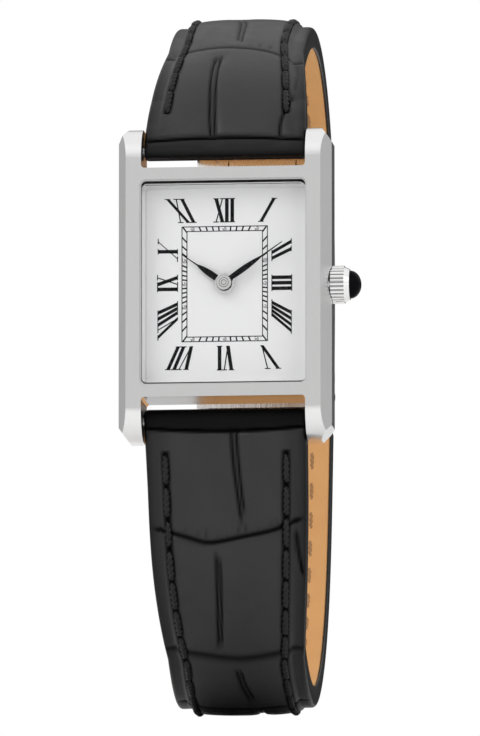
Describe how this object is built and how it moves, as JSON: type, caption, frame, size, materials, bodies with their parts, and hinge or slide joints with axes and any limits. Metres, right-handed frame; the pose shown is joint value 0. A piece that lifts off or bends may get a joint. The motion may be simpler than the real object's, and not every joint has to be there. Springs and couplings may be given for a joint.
{
  "type": "rectangular wristwatch",
  "caption": "Slim rectangular steel wristwatch with Roman dial, leaf hands, cabochon crown and a padded black leather strap on a hidden folding clasp.",
  "frame": {"origin": "centre of the flat outer face of the case back", "axes": "+Z towards twelve o'clock, +X towards the crown, +Y out of the case back towards the wrist; the dial faces -Y"},
  "size_m": [0.0236, 0.0466, 0.0694],
  "materials": {
    "case_steel": "fine satin with polished bevels",
    "polished_steel": "mirror polish",
    "clasp_steel": "satin",
    "crystal": "polished",
    "dial_white": "matt silver white",
    "hand_black": "gloss",
    "cabochon_black": "polished",
    "black_rubber": "matt",
    "clear_gasket": "translucent",
    "white_plastic": "moulded",
    "gilt_brass": "fine grained gilt",
    "magnet_grey": "ground",
    "coil_copper": "wound wire",
    "circuit_green": "solder mask",
    "strap_leather": "semi-matt embossed scales",
    "strap_lining": "matt calf",
    "strap_padding": "felt"
  },
  "bodies": {
    "case": {"case_body": "case_steel", "case_back": "case_steel", "case_back_gasket": "black_rubber", "case_back_screws": "polished_steel", "crystal": "crystal", "crystal_gasket": "clear_gasket", "dial": "dial_white", "movement_holder": "white_plastic", "main_plate": "gilt_brass", "train_bridge": "gilt_brass", "bridge_screws": "polished_steel", "stator": "polished_steel", "coil": "coil_copper", "circuit_block": "circuit_green", "battery": "polished_steel", "battery_clamp": "polished_steel", "crown_tube": "polished_steel", "upper_spring_bar": "polished_steel", "lower_spring_bar": "polished_steel"},
    "minute_hand": {"centre_wheel": "gilt_brass", "cannon_pinion": "gilt_brass", "minute_hand": "hand_black", "minute_hand_collet": "polished_steel"},
    "hour_hand": {"hour_wheel": "gilt_brass", "hour_hand": "hand_black", "hour_hand_collet": "polished_steel"},
    "minute_wheel": {"minute_wheel": "gilt_brass"},
    "intermediate_wheel": {"intermediate_wheel": "gilt_brass"},
    "rotor": {"rotor": "magnet_grey"},
    "crown_slide": {"crown_gasket": "black_rubber"},
    "crown": {"crown": "polished_steel", "crown_cabochon": "cabochon_black", "stem": "polished_steel"},
    "upper_strap": {"upper_strap_leather": "strap_leather", "upper_strap_padding": "strap_padding", "upper_strap_lining": "strap_lining", "upper_strap_end_bar": "polished_steel", "clasp_cover": "clasp_steel", "clasp_hinge_pin": "polished_steel"},
    "lower_strap": {"lower_strap_leather": "strap_leather", "lower_strap_padding": "strap_padding", "lower_strap_lining": "strap_lining", "lower_strap_end_bar": "polished_steel"},
    "clasp_base": {"clasp_base": "clasp_steel"},
    "clasp_pusher_left": {"clasp_pusher_left": "polished_steel"},
    "clasp_pusher_right": {"clasp_pusher_right": "polished_steel"},
    "upper_bar_tip_left": {"upper_bar_tip_left": "polished_steel"},
    "upper_bar_tip_right": {"upper_bar_tip_right": "polished_steel"},
    "lower_bar_tip_left": {"lower_bar_tip_left": "polished_steel"},
    "lower_bar_tip_right": {"lower_bar_tip_right": "polished_steel"}
  },
  "joints": [
    {"name": "minute_hand_turn", "type": "hinge", "parent": "case", "child": "minute_hand", "pos_m": [0, 0, 0], "axis": [0, 1, 0], "continuous": true},
    {"name": "hour_hand_turn", "type": "hinge", "parent": "case", "child": "hour_hand", "pos_m": [0, 0, 0], "axis": [0, 1, 0], "continuous": true},
    {"name": "minute_wheel_turn", "type": "hinge", "parent": "case", "child": "minute_wheel", "pos_m": [-0.00131, 0, -0.00092], "axis": [0, 1, 0], "continuous": true},
    {"name": "intermediate_wheel_turn", "type": "hinge", "parent": "case", "child": "intermediate_wheel", "pos_m": [-0.0014, 0, 0.00242], "axis": [0, 1, 0], "continuous": true},
    {"name": "rotor_turn", "type": "hinge", "parent": "case", "child": "rotor", "pos_m": [-0.0028, 0, 0.00382], "axis": [0, 1, 0], "continuous": true},
    {"name": "crown_pull", "type": "slide", "parent": "case", "child": "crown_slide", "axis": [1, 0, 0], "range_m": [0, 0.0008]},
    {"name": "crown_turn", "type": "hinge", "parent": "crown_slide", "child": "crown", "pos_m": [0.0101, -0.0027, 0], "axis": [1, 0, 0], "continuous": true},
    {"name": "upper_strap_swing", "type": "hinge", "parent": "case", "child": "upper_strap", "pos_m": [0, -0.00315, 0.0133], "axis": [1, 0, 0], "range_deg": [0, 65]},
    {"name": "lower_strap_swing", "type": "hinge", "parent": "case", "child": "lower_strap", "pos_m": [0, -0.00315, -0.0133], "axis": [-1, 0, 0], "range_deg": [0, 65]},
    {"name": "clasp_fold", "type": "hinge", "parent": "upper_strap", "child": "clasp_base", "pos_m": [0, 0.03453, 0.01747], "axis": [-1, 0, 0], "range_deg": [0, 90]},
    {"name": "clasp_pusher_left_press", "type": "slide", "parent": "upper_strap", "child": "clasp_pusher_left", "axis": [1, 0, 0], "range_m": [0, 0.0005], "stiffness_N_per_m": 150, "springref_m": -0.001},
    {"name": "clasp_pusher_right_press", "type": "slide", "parent": "upper_strap", "child": "clasp_pusher_right", "axis": [-1, 0, 0], "range_m": [0, 0.0005], "stiffness_N_per_m": 150, "springref_m": -0.001},
    {"name": "upper_bar_tip_left_retract", "type": "slide", "parent": "case", "child": "upper_bar_tip_left", "axis": [1, 0, 0], "range_m": [0, 0.0007], "stiffness_N_per_m": 100, "springref_m": -0.001},
    {"name": "upper_bar_tip_right_retract", "type": "slide", "parent": "case", "child": "upper_bar_tip_right", "axis": [-1, 0, 0], "range_m": [0, 0.0007], "stiffness_N_per_m": 100, "springref_m": -0.001},
    {"name": "lower_bar_tip_left_retract", "type": "slide", "parent": "case", "child": "lower_bar_tip_left", "axis": [1, 0, 0], "range_m": [0, 0.0007], "stiffness_N_per_m": 100, "springref_m": -0.001},
    {"name": "lower_bar_tip_right_retract", "type": "slide", "parent": "case", "child": "lower_bar_tip_right", "axis": [-1, 0, 0], "range_m": [0, 0.0007], "stiffness_N_per_m": 100, "springref_m": -0.001}
  ],
  "couplings": [
    {"joint": "hour_hand_turn", "follows": "minute_hand_turn", "ratio": 0.083333},
    {"joint": "minute_wheel_turn", "follows": "minute_hand_turn", "ratio": -0.33333},
    {"joint": "intermediate_wheel_turn", "follows": "minute_hand_turn", "ratio": -9},
    {"joint": "rotor_turn", "follows": "minute_hand_turn", "ratio": 40.5}
  ]
}
